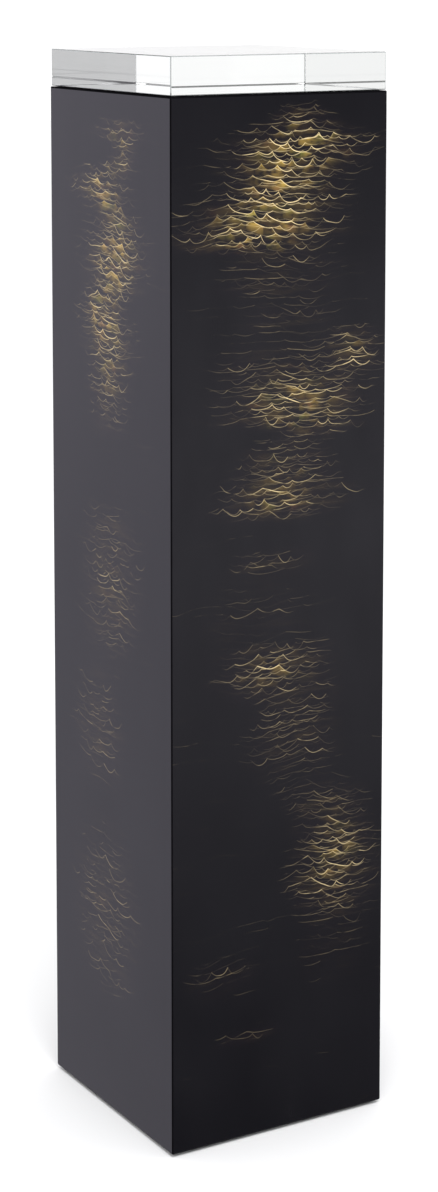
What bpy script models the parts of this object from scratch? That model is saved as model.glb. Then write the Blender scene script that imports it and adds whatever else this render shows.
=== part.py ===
"""Display plinth: a tall square lacquered pedestal that carries a clear acrylic block.

Four mitred MDF panels make the body. Battens are glued in its inner corners, two braces keep it
square, and a deck and a base close its ends. The acrylic block lies loose on four clear bumpers.
Under the base are four levelling feet, each a pad that stays still on the floor and a threaded
stem that turns in a tee nut.

Metres, +Z up. The origin is at the centre of the plinth's footprint, on the floor.
The front panel faces -Y and the left panel faces -X.
"""

import math

import bmesh
import bpy

# Driving dimensions.
BODY_WIDTH = 0.250
BODY_TOP = 1.057
FLOOR_GAP = 0.003
PANEL_THICKNESS = 0.015
BLOCK_THICKNESS = 0.038
CLEARANCE = 0.0003  # between pieces that touch or are glued

# Lacquered edges.
CORNER_RADIUS = 0.0015
SMALLEST_RADIUS = 0.0005
TOP_EDGE_RADIUS = 0.001
BOTTOM_EDGE_RADIUS = 0.002
ARC_STEPS = 4

# Acrylic block and the bumpers under it.
BLOCK_INSET = 0.001
BLOCK_GAP = 0.0008
BLOCK_CHAMFER = 0.0006
BUMPER_RADIUS = 0.005
BUMPER_HEIGHT = 0.0014
BUMPER_EDGE = 0.0006
BUMPER_PLACE = 0.100
RECESS_RADIUS = 0.006
RECESS_DEPTH = 0.0012

# Deck, base, battens and braces.
DECK_THICKNESS = 0.018
BASE_THICKNESS = 0.018
BASE_BOTTOM = 0.018
BATTEN_SIDE = 0.022
BRACE_THICKNESS = 0.009
BRACE_HOLE_RADIUS = 0.045
BRACE_HEIGHTS = {"lower_brace": 0.36, "upper_brace": 0.71}

# Dowels between the battens and the deck.
DOWEL_RADIUS = 0.004
DOWEL_LENGTH = 0.035
DOWEL_IN_DECK = 0.011
DOWEL_CHAMFER = 0.001

# Wood screws through the base into the battens.
SCREW_LENGTH = 0.050
SCREW_SHANK_RADIUS = 0.002
SCREW_HEAD_RADIUS = 0.0042
SCREW_HEAD_DEPTH = 0.0024
SCREW_TIP = 0.006
DRIVE_LENGTH = 0.0042
DRIVE_WIDTH = 0.0009
DRIVE_DEPTH = 0.0012

# Levelling feet, with an M8 thread.
FOOT_PLACE = 0.072
PAD_RADIUS = 0.016
PAD_SHOULDER_RADIUS = 0.009
PAD_HEIGHT = 0.008
PAD_EDGE = 0.001
PAD_SKIRT = 0.0032
SOCKET_RADIUS = 0.0053
SOCKET_MOUTH_RADIUS = 0.0045
SOCKET_LIP = 0.001
SOCKET_FLOOR = 0.0027
CAPTIVE_TOP = 0.0065
STEM_RADIUS = 0.0039
STEM_CHAMFER = 0.001
STEM_TOP = 0.050
COLLAR_ACROSS_FLATS = 0.013
COLLAR_BOTTOM = 0.0088
COLLAR_HEIGHT = 0.0045
NUT_BORE_RADIUS = 0.0042
NUT_BARREL_RADIUS = 0.0052
NUT_BARREL_DEPTH = 0.012
NUT_FLANGE_RADIUS = 0.0105
NUT_FLANGE_THICKNESS = 0.0015

ROUND_SEGMENTS = 32
SMALL_SEGMENTS = 24
CUT_MARGIN = 0.002  # how far a cutter runs past the face it cuts

CORNERS = {
    "front_left": (-1, -1),
    "front_right": (1, -1),
    "back_left": (-1, 1),
    "back_right": (1, 1),
}

INNER_HALF = BODY_WIDTH / 2 - PANEL_THICKNESS
INSET_HALF = INNER_HALF - CLEARANCE
BATTEN_PLACE = INSET_HALF - BATTEN_SIDE / 2
BASE_TOP = BASE_BOTTOM + BASE_THICKNESS
DECK_BOTTOM = BODY_TOP - DECK_THICKNESS
BLOCK_BOTTOM = BODY_TOP + BLOCK_GAP


def clear_scene():
    for item in list(bpy.data.objects):
        bpy.data.objects.remove(item, do_unlink=True)


def make_material(name, colour, roughness, metallic=0.0, transmission=0.0, ior=1.5):
    material = bpy.data.materials.new(name)
    material.use_nodes = True
    shader = material.node_tree.nodes["Principled BSDF"]
    shader.inputs["Base Color"].default_value = (*colour, 1.0)
    shader.inputs["Roughness"].default_value = roughness
    shader.inputs["Metallic"].default_value = metallic
    shader.inputs["Transmission Weight"].default_value = transmission
    shader.inputs["IOR"].default_value = ior
    return material


def make_materials():
    return {
        "lacquer": make_material("lacquer", (0.014, 0.013, 0.016), 0.22),
        "acrylic": make_material("acrylic", (0.97, 0.985, 0.98), 0.02, transmission=1.0, ior=1.49),
        "clear_rubber": make_material("clear_rubber", (0.85, 0.86, 0.84), 0.3, transmission=0.8),
        "mdf": make_material("mdf", (0.36, 0.25, 0.16), 0.85),
        "softwood": make_material("softwood", (0.62, 0.45, 0.27), 0.7),
        "beech": make_material("beech", (0.68, 0.48, 0.31), 0.6),
        "zinc_steel": make_material("zinc_steel", (0.62, 0.62, 0.60), 0.32, metallic=1.0),
        "nylon": make_material("nylon", (0.03, 0.03, 0.032), 0.5),
    }


def make_object(name, mesh_builder, material, location=(0.0, 0.0, 0.0), parent=None):
    """One named object from a bmesh whose points are relative to location."""
    bmesh.ops.recalc_face_normals(mesh_builder, faces=mesh_builder.faces)
    mesh = bpy.data.meshes.new(name)
    mesh_builder.to_mesh(mesh)
    mesh_builder.free()
    item = bpy.data.objects.new(name, mesh)
    item.location = location
    item.parent = parent
    if material:
        item.data.materials.append(material)
    bpy.context.scene.collection.objects.link(item)
    return item


def shade_round(item):
    item.data.shade_smooth()
    item.data.set_sharp_from_angle(angle=math.radians(35))


def stacked_rings(rings):
    """A closed solid through rings of points, bottom to top, each with the same count."""
    builder = bmesh.new()
    levels = [[builder.verts.new(point) for point in ring] for ring in rings]
    builder.faces.new(reversed(levels[0]))
    builder.faces.new(levels[-1])
    for lower, upper in zip(levels, levels[1:]):
        for i in range(len(lower)):
            j = (i + 1) % len(lower)
            builder.faces.new((lower[i], lower[j], upper[j], upper[i]))
    return builder


def turned(profile, segments):
    """A solid of revolution about Z. The profile is (radius, height) pairs, and radius 0 is a pole."""
    builder = bmesh.new()
    levels = []
    for radius, height in profile:
        if radius == 0:
            levels.append([builder.verts.new((0, 0, height))])
            continue
        turns = [2 * math.pi * i / segments for i in range(segments)]
        points = [(radius * math.cos(t), radius * math.sin(t), height) for t in turns]
        levels.append([builder.verts.new(point) for point in points])
    closed = profile[0][0] != 0
    pairs = list(zip(levels, levels[1:]))
    if closed:
        pairs.append((levels[-1], levels[0]))
    for lower, upper in pairs:
        for i in range(segments):
            j = (i + 1) % segments
            corners = [lower[i % len(lower)], lower[j % len(lower)]]
            corners += [upper[j % len(upper)], upper[i % len(upper)]]
            builder.faces.new(list(dict.fromkeys(corners)))
    return builder


def box(size, centre):
    builder = bmesh.new()
    bmesh.ops.create_cube(builder, size=1.0)
    for vertex in builder.verts:
        vertex.co = [c + s * v for c, s, v in zip(centre, size, vertex.co)]
    return builder


def cut(item, name, builder, location=(0.0, 0.0, 0.0)):
    """Cuts a solid out of an item, with a hidden cutter and a Boolean modifier."""
    cutter = make_object(name, builder, None, location)
    cutter.hide_render = True
    cutter.display_type = "WIRE"
    modifier = item.modifiers.new(name, "BOOLEAN")
    modifier.operation = "DIFFERENCE"
    modifier.solver = "EXACT"
    modifier.object = cutter


def cylinder_profile(radius, low, high):
    return [(0, low), (radius, low), (radius, high), (0, high)]


def cross_outline(reach, half_width):
    """A cross of four arms, or a square with notched corners where the arms are wide."""
    quarter = [(reach, -half_width), (reach, half_width), (half_width, half_width)]
    outline = []
    for _ in range(4):
        outline += quarter
        quarter = [(-y, x) for x, y in quarter]
    return outline


def extruded(outline, low, high):
    return stacked_rings([[(x, y, z) for x, y in outline] for z in (low, high)])


def panel_outline(inset):
    """The front panel's cross-section, with its outer faces moved in by inset."""
    half = BODY_WIDTH / 2 - inset
    radius = max(CORNER_RADIUS - inset, SMALLEST_RADIUS)
    centre = half - radius
    # The mitre plane is at 45 degrees, and the panel stays half a clearance from it.
    mitre = CLEARANCE / 2 * math.sqrt(2)
    end = math.pi / 4 - math.asin(CLEARANCE / 2 / radius)
    turns = [end * i / ARC_STEPS for i in range(ARC_STEPS + 1)]
    right = [(centre + radius * math.sin(t), -centre - radius * math.cos(t)) for t in turns]
    left = [(-x, y) for x, y in reversed(right)]
    return [*left, *right, (INNER_HALF - mitre, -INNER_HALF), (-INNER_HALF + mitre, -INNER_HALF)]


def edge_levels():
    """(inset, height) pairs that ease the panel's bottom and top edges."""
    turns = [math.pi / 2 * i / ARC_STEPS for i in range(ARC_STEPS + 1)]
    levels = []
    for turn in turns:
        inset = BOTTOM_EDGE_RADIUS * (1 - math.sin(turn))
        levels.append((inset, FLOOR_GAP + BOTTOM_EDGE_RADIUS * (1 - math.cos(turn))))
    for turn in reversed(turns):
        inset = TOP_EDGE_RADIUS * (1 - math.sin(turn))
        levels.append((inset, BODY_TOP - TOP_EDGE_RADIUS * (1 - math.cos(turn))))
    return levels


def make_panels(materials):
    """Four like panels, each a quarter turn from the next."""
    rings = [[(x, y, z) for x, y in panel_outline(inset)] for inset, z in edge_levels()]
    turns = {"front_panel": 0, "right_panel": 90, "back_panel": 180, "left_panel": 270}
    for name, degrees in turns.items():
        panel = make_object(name, stacked_rings(rings), materials["lacquer"])
        panel.rotation_euler.z = math.radians(degrees)


def make_deck(materials):
    """The deck between the panels, level with their top edges."""
    side = 2 * INSET_HALF
    middle = (0, 0, (DECK_BOTTOM + BODY_TOP) / 2)
    deck = make_object("deck", box((side, side, DECK_THICKNESS), middle), materials["lacquer"])
    hole = cylinder_profile(DOWEL_RADIUS + CLEARANCE, -CUT_MARGIN, DOWEL_IN_DECK + CLEARANCE)
    recess = cylinder_profile(RECESS_RADIUS, -RECESS_DEPTH, CUT_MARGIN)
    for corner, (sx, sy) in CORNERS.items():
        place = (sx * BATTEN_PLACE, sy * BATTEN_PLACE, DECK_BOTTOM)
        cut(deck, f"deck_dowel_hole_{corner}", turned(hole, SMALL_SEGMENTS), place)
        place = (sx * BUMPER_PLACE, sy * BUMPER_PLACE, BODY_TOP)
        cut(deck, f"deck_recess_{corner}", turned(recess, ROUND_SEGMENTS), place)


def make_base(materials):
    """The base between the panels, bored for the feet and the screws."""
    side = 2 * INSET_HALF
    middle = (0, 0, (BASE_BOTTOM + BASE_TOP) / 2)
    base = make_object("base", box((side, side, BASE_THICKNESS), middle), materials["mdf"])
    foot_hole = cylinder_profile(
        NUT_BARREL_RADIUS + CLEARANCE, -CUT_MARGIN, BASE_THICKNESS + CUT_MARGIN
    )
    shank = SCREW_SHANK_RADIUS + CLEARANCE
    head = SCREW_HEAD_RADIUS + CLEARANCE
    screw_hole = [
        (0, -CUT_MARGIN),
        (head, -CUT_MARGIN),
        (head, 2 * CLEARANCE),
        (shank, SCREW_HEAD_DEPTH + 2 * CLEARANCE),
        (shank, BASE_THICKNESS + CUT_MARGIN),
        (0, BASE_THICKNESS + CUT_MARGIN),
    ]
    for corner, (sx, sy) in CORNERS.items():
        place = (sx * FOOT_PLACE, sy * FOOT_PLACE, BASE_BOTTOM)
        cut(base, f"base_foot_hole_{corner}", turned(foot_hole, SMALL_SEGMENTS), place)
        place = (sx * BATTEN_PLACE, sy * BATTEN_PLACE, BASE_BOTTOM)
        cut(base, f"base_screw_hole_{corner}", turned(screw_hole, SMALL_SEGMENTS), place)


def make_battens(materials):
    """Square battens from the base to the deck, bored for a screw below and a dowel above."""
    low = BASE_TOP + CLEARANCE
    high = DECK_BOTTOM - CLEARANCE
    size = (BATTEN_SIDE, BATTEN_SIDE, high - low)
    in_batten = SCREW_LENGTH - BASE_THICKNESS
    pilot = cylinder_profile(SCREW_SHANK_RADIUS + CLEARANCE, -CUT_MARGIN, in_batten)
    depth = DOWEL_LENGTH - DOWEL_IN_DECK
    hole = cylinder_profile(DOWEL_RADIUS + CLEARANCE, -depth, CUT_MARGIN)
    for corner, (sx, sy) in CORNERS.items():
        x = sx * BATTEN_PLACE
        y = sy * BATTEN_PLACE
        batten = make_object(
            f"corner_batten_{corner}",
            box(size, (0, 0, 0)),
            materials["softwood"],
            (x, y, (low + high) / 2),
        )
        cut(batten, f"pilot_hole_{corner}", turned(pilot, SMALL_SEGMENTS), (x, y, low))
        cut(batten, f"dowel_hole_{corner}", turned(hole, SMALL_SEGMENTS), (x, y, high))


def make_braces(materials):
    """Square braces, notched round the battens."""
    notch = INSET_HALF - BATTEN_SIDE - CLEARANCE
    half = BRACE_THICKNESS / 2
    hole = cylinder_profile(BRACE_HOLE_RADIUS, -BRACE_THICKNESS, BRACE_THICKNESS)
    for name, height in BRACE_HEIGHTS.items():
        plate = extruded(cross_outline(INSET_HALF, notch), -half, half)
        brace = make_object(name, plate, materials["mdf"], (0, 0, height))
        cut(brace, f"{name}_hole", turned(hole, 2 * ROUND_SEGMENTS), (0, 0, height))


def make_dowels(materials):
    """Dowels that locate the deck on the battens."""
    profile = [
        (0, 0),
        (DOWEL_RADIUS - DOWEL_CHAMFER, 0),
        (DOWEL_RADIUS, DOWEL_CHAMFER),
        (DOWEL_RADIUS, DOWEL_LENGTH - DOWEL_CHAMFER),
        (DOWEL_RADIUS - DOWEL_CHAMFER, DOWEL_LENGTH),
        (0, DOWEL_LENGTH),
    ]
    bottom = DECK_BOTTOM + DOWEL_IN_DECK - DOWEL_LENGTH
    for corner, (sx, sy) in CORNERS.items():
        place = (sx * BATTEN_PLACE, sy * BATTEN_PLACE, bottom)
        dowel = make_object(
            f"deck_dowel_{corner}", turned(profile, SMALL_SEGMENTS), materials["beech"], place
        )
        shade_round(dowel)


def make_base_screws(materials):
    """Countersunk wood screws whose heads are just inside the base's lower face."""
    shank = SCREW_SHANK_RADIUS
    profile = [
        (0, 0),
        (SCREW_HEAD_RADIUS, 0),
        (SCREW_HEAD_RADIUS, CLEARANCE),
        (shank, SCREW_HEAD_DEPTH),
        (shank, SCREW_LENGTH - SCREW_TIP),
        (0, SCREW_LENGTH - 2 * CLEARANCE),
    ]
    bottom = BASE_BOTTOM + CLEARANCE
    drive = cross_outline(DRIVE_LENGTH / 2, DRIVE_WIDTH / 2)
    for corner, (sx, sy) in CORNERS.items():
        place = (sx * BATTEN_PLACE, sy * BATTEN_PLACE, bottom)
        screw = make_object(
            f"base_screw_{corner}",
            turned(profile, SMALL_SEGMENTS),
            materials["zinc_steel"],
            place,
        )
        shade_round(screw)
        cut(screw, f"screw_drive_{corner}", extruded(drive, -DRIVE_DEPTH, DRIVE_DEPTH), place)


def make_tee_nuts(materials):
    """Tee nuts pressed in from above. The barrel goes down into the base."""
    flange = NUT_FLANGE_THICKNESS
    profile = [
        (NUT_BORE_RADIUS, -NUT_BARREL_DEPTH),
        (NUT_BARREL_RADIUS, -NUT_BARREL_DEPTH),
        (NUT_BARREL_RADIUS, 0),
        (NUT_FLANGE_RADIUS, 0),
        (NUT_FLANGE_RADIUS, flange),
        (NUT_BORE_RADIUS, flange),
    ]
    for corner, (sx, sy) in CORNERS.items():
        place = (sx * FOOT_PLACE, sy * FOOT_PLACE, BASE_TOP + CLEARANCE)
        nut = make_object(
            f"tee_nut_{corner}", turned(profile, SMALL_SEGMENTS), materials["zinc_steel"], place
        )
        shade_round(nut)


def pad_profile():
    """A tapered pad, open at the top into the socket that holds the stem's foot."""
    return [
        (0, 0),
        (PAD_RADIUS - PAD_EDGE, 0),
        (PAD_RADIUS, PAD_EDGE),
        (PAD_RADIUS, PAD_SKIRT),
        (PAD_SHOULDER_RADIUS, PAD_HEIGHT - PAD_EDGE / 2),
        (PAD_SHOULDER_RADIUS - PAD_EDGE / 2, PAD_HEIGHT),
        (SOCKET_MOUTH_RADIUS, PAD_HEIGHT),
        (SOCKET_MOUTH_RADIUS, PAD_HEIGHT - SOCKET_LIP),
        (SOCKET_RADIUS, PAD_HEIGHT - 2 * SOCKET_LIP),
        (SOCKET_RADIUS, SOCKET_FLOOR),
        (0, SOCKET_FLOOR),
    ]


def round_reach(radius):
    return lambda turn: radius


def hexagon_reach(across_flats):
    """How far a hexagon's side is from its centre, at each angle."""
    side = math.pi / 3

    def reach(turn):
        from_flat = (turn + side / 2) % side - side / 2
        return across_flats / 2 / math.cos(from_flat)

    return reach


def stem_builder():
    """A threaded stem with a hexagonal collar, and a captive foot inside the pad."""
    foot = round_reach(SOCKET_RADIUS - CLEARANCE)
    neck = round_reach(STEM_RADIUS)
    end = round_reach(STEM_RADIUS - STEM_CHAMFER)
    collar = hexagon_reach(COLLAR_ACROSS_FLATS)
    collar_top = COLLAR_BOTTOM + COLLAR_HEIGHT
    levels = [
        (foot, SOCKET_FLOOR + CLEARANCE),
        (foot, CAPTIVE_TOP - STEM_CHAMFER),
        (neck, CAPTIVE_TOP),
        (neck, COLLAR_BOTTOM),
        (collar, COLLAR_BOTTOM),
        (collar, collar_top),
        (neck, collar_top),
        (neck, STEM_TOP - STEM_CHAMFER),
        (end, STEM_TOP),
    ]
    turns = [2 * math.pi * i / SMALL_SEGMENTS for i in range(SMALL_SEGMENTS)]
    rings = []
    for reach, z in levels:
        rings.append([(reach(t) * math.cos(t), reach(t) * math.sin(t), z) for t in turns])
    return stacked_rings(rings)


def make_feet(materials):
    """Each foot's pad and stem hang from an empty on the foot's own axis."""
    for corner, (sx, sy) in CORNERS.items():
        axis = bpy.data.objects.new(f"foot_axis_{corner}", None)
        axis.location = (sx * FOOT_PLACE, sy * FOOT_PLACE, 0)
        bpy.context.scene.collection.objects.link(axis)
        pad = make_object(
            f"foot_pad_{corner}",
            turned(pad_profile(), ROUND_SEGMENTS),
            materials["nylon"],
            parent=axis,
        )
        stem = make_object(
            f"foot_stem_{corner}", stem_builder(), materials["zinc_steel"], parent=axis
        )
        shade_round(pad)
        shade_round(stem)


def make_bumpers(materials):
    """Clear bumpers in the deck's recesses. They hold the block off the deck."""
    top = BLOCK_BOTTOM - CLEARANCE
    profile = [
        (0, -BUMPER_HEIGHT),
        (BUMPER_RADIUS, -BUMPER_HEIGHT),
        (BUMPER_RADIUS, -BUMPER_EDGE),
        (BUMPER_RADIUS - BUMPER_EDGE, 0),
        (0, 0),
    ]
    for corner, (sx, sy) in CORNERS.items():
        place = (sx * BUMPER_PLACE, sy * BUMPER_PLACE, top)
        bumper = make_object(
            f"bumper_{corner}",
            turned(profile, ROUND_SEGMENTS),
            materials["clear_rubber"],
            place,
        )
        shade_round(bumper)


def make_block(materials):
    """The loose acrylic block, with small polished chamfers."""
    side = BODY_WIDTH - 2 * BLOCK_INSET
    block = make_object(
        "acrylic_block",
        box((side, side, BLOCK_THICKNESS), (0, 0, BLOCK_THICKNESS / 2)),
        materials["acrylic"],
        (0, 0, BLOCK_BOTTOM),
    )
    chamfer = block.modifiers.new("polished_edges", "BEVEL")
    chamfer.width = BLOCK_CHAMFER
    chamfer.segments = 1
    chamfer.limit_method = "NONE"


def main():
    clear_scene()
    materials = make_materials()
    make_panels(materials)
    make_deck(materials)
    make_base(materials)
    make_battens(materials)
    make_braces(materials)
    make_dowels(materials)
    make_base_screws(materials)
    make_tee_nuts(materials)
    make_feet(materials)
    make_bumpers(materials)
    make_block(materials)


main()
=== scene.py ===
"""Looks of the display plinth: black lacquer with a rippled gold pattern, a clear acrylic block
and levelling feet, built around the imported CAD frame.

Metres, +Z up. The front panel faces -Y and the left panel faces -X.
"""

import math

import bmesh
import bpy
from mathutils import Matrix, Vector


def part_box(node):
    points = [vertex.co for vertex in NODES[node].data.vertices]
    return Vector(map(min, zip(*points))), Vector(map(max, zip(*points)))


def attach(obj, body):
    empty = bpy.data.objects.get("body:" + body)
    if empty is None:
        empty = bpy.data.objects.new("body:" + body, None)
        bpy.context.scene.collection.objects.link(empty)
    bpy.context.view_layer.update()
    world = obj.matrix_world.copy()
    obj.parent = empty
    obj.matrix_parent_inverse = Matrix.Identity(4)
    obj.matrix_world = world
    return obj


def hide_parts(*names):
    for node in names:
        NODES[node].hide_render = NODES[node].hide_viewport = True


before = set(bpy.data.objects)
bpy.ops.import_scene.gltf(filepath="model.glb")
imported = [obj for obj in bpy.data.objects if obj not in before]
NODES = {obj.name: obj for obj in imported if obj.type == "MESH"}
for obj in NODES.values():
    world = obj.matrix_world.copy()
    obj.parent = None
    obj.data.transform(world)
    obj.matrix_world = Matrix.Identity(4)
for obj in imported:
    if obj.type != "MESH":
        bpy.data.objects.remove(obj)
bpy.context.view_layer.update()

CORNERS = ["front_left", "front_right", "back_left", "back_right"]

BODY_LOW, BODY_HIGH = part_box("front_panel")
HALF_WIDTH = BODY_HIGH[0]
BODY_TOP = BODY_HIGH[2]

MILLIMETRE = 0.001
SHADE_RIM = 0.0016  # width of the flat black band along the top of the panels, painted shade of the gap under the block
ARRIS = 0.0007  # width of the flat black lines along their corners

ACRYLIC_IOR = 1.49
POLYURETHANE_IOR = 1.50

SHARP_ANGLE = math.radians(38.0)  # edges that turn by more than this are not smoothed
STRAIGHT = 0.99999  # a face whose normal reaches this along an axis is kept flat


# ---------------------------------------------------------------------------------------------
# Shader arithmetic: a Field wraps a node socket, so that a pattern reads like a formula.
# ---------------------------------------------------------------------------------------------


class Field:
    """A number that varies over a surface, as a socket of a material's node tree."""

    def __init__(self, tree, socket):
        self.tree = tree
        self.socket = socket

    def math(self, operation, *others, clamp=False):
        node = self.tree.nodes.new("ShaderNodeMath")
        node.operation = operation
        node.use_clamp = clamp
        self.tree.links.new(self.socket, node.inputs[0])
        for place, other in enumerate(others, start=1):
            put(self.tree, other, node.inputs[place])
        return Field(self.tree, node.outputs[0])

    def __add__(self, other):
        return self.math("ADD", other)

    def __radd__(self, other):
        return self.math("ADD", other)

    def __sub__(self, other):
        return self.math("SUBTRACT", other)

    def __rsub__(self, other):
        return self.math("MULTIPLY", -1.0).math("ADD", other)

    def __mul__(self, other):
        return self.math("MULTIPLY", other)

    def __rmul__(self, other):
        return self.math("MULTIPLY", other)

    def __truediv__(self, other):
        return self.math("DIVIDE", other)

    def __pow__(self, other):
        return self.math("POWER", other)

    def floor(self):
        return self.math("FLOOR")

    def fraction(self):
        return self.math("FRACT")

    def size(self):
        return self.math("ABSOLUTE")

    def root(self):
        return self.math("SQRT")

    def clamp(self):
        return self.math("ADD", 0.0, clamp=True)

    def most(self, other):
        return self.math("MAXIMUM", other)

    def step(self, low, high):
        """0 below low, 1 above high and smooth between; falls instead where low is above high."""
        if isinstance(low, (int, float)) and isinstance(high, (int, float)):
            node = self.tree.nodes.new("ShaderNodeMapRange")
            node.interpolation_type = "SMOOTHSTEP"
            rising = high > low
            put(self.tree, self, node.inputs["Value"])
            node.inputs["From Min"].default_value = min(low, high)
            node.inputs["From Max"].default_value = max(low, high)
            node.inputs["To Min"].default_value = 0.0 if rising else 1.0
            node.inputs["To Max"].default_value = 1.0 if rising else 0.0
            return Field(self.tree, node.outputs["Result"])
        return ((self - low) / (high - low)).clamp()


def put(tree, value, socket):
    """Links a Field or a socket to a socket, or writes a constant into it."""
    if isinstance(value, Field):
        tree.links.new(value.socket, socket)
    elif isinstance(value, bpy.types.NodeSocket):
        tree.links.new(value, socket)
    else:
        socket.default_value = value


def combine(tree, x, y, z=0.0):
    node = tree.nodes.new("ShaderNodeCombineXYZ")
    put(tree, x, node.inputs[0])
    put(tree, y, node.inputs[1])
    put(tree, z, node.inputs[2])
    return node.outputs[0]


def place_on_object(tree):
    """The point's x, y and z at rest, in metres in the plinth's own frame."""
    coordinates = tree.nodes.new("ShaderNodeTexCoord")
    split = tree.nodes.new("ShaderNodeSeparateXYZ")
    tree.links.new(coordinates.outputs["Object"], split.inputs[0])
    return [Field(tree, split.outputs[axis]) for axis in range(3)]


def noise(tree, vector, scale, detail=2.0):
    """Noise from 0 to 1 with features of about 1/scale metres."""
    node = tree.nodes.new("ShaderNodeTexNoise")
    put(tree, vector, node.inputs["Vector"])
    node.inputs["Scale"].default_value = scale
    node.inputs["Detail"].default_value = detail
    return Field(tree, node.outputs["Fac"])


def chance(tree, first, second):
    """Three random numbers from 0 to 1 for each whole-numbered pair."""
    node = tree.nodes.new("ShaderNodeTexWhiteNoise")
    node.noise_dimensions = "2D"
    put(tree, combine(tree, first, second), node.inputs["Vector"])
    split = tree.nodes.new("ShaderNodeSeparateColor")
    tree.links.new(node.outputs["Color"], split.inputs[0])
    return [Field(tree, split.outputs[channel]) for channel in range(3)]


def ramp(tree, field, stops):
    """Colours along a field. Stops are (position, colour) pairs, in rising order."""
    node = tree.nodes.new("ShaderNodeValToRGB")
    elements = node.color_ramp.elements
    while len(elements) < len(stops):
        elements.new(0.5)
    for element, (position, colour) in zip(elements, stops):
        element.position = position
        element.color = (*colour, 1.0)
    put(tree, field, node.inputs["Fac"])
    return node.outputs["Color"]


def mix_colour(tree, amount, first, second):
    """Mixes two colours; Mix nodes hold one set of sockets for each data type."""
    node = tree.nodes.new("ShaderNodeMix")
    node.data_type = "RGBA"
    colours = [socket for socket in node.inputs if socket.type == "RGBA"]
    put(tree, amount, node.inputs[0])
    for value, socket in zip((first, second), colours):
        if isinstance(value, tuple):
            socket.default_value = (*value, 1.0)
        else:
            put(tree, value, socket)
    result = [socket for socket in node.outputs if socket.type == "RGBA"]
    return result[0]


def new_material(name, metallic=0.0, roughness=0.5, specular=0.5):
    material = bpy.data.materials.new(name)
    material.use_nodes = True
    tree = material.node_tree
    shader = tree.nodes["Principled BSDF"]
    shader.inputs["Metallic"].default_value = metallic
    shader.inputs["Roughness"].default_value = roughness
    shader.inputs["Specular IOR Level"].default_value = specular
    return material, tree, shader


def bump(tree, shader, height, distance):
    """Raises a surface by a height from 0 to 1, as a part of a distance in metres."""
    node = tree.nodes.new("ShaderNodeBump")
    node.inputs["Strength"].default_value = 1.0
    node.inputs["Distance"].default_value = distance
    put(tree, height, node.inputs["Height"])
    tree.links.new(node.outputs["Normal"], shader.inputs["Normal"])
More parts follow.
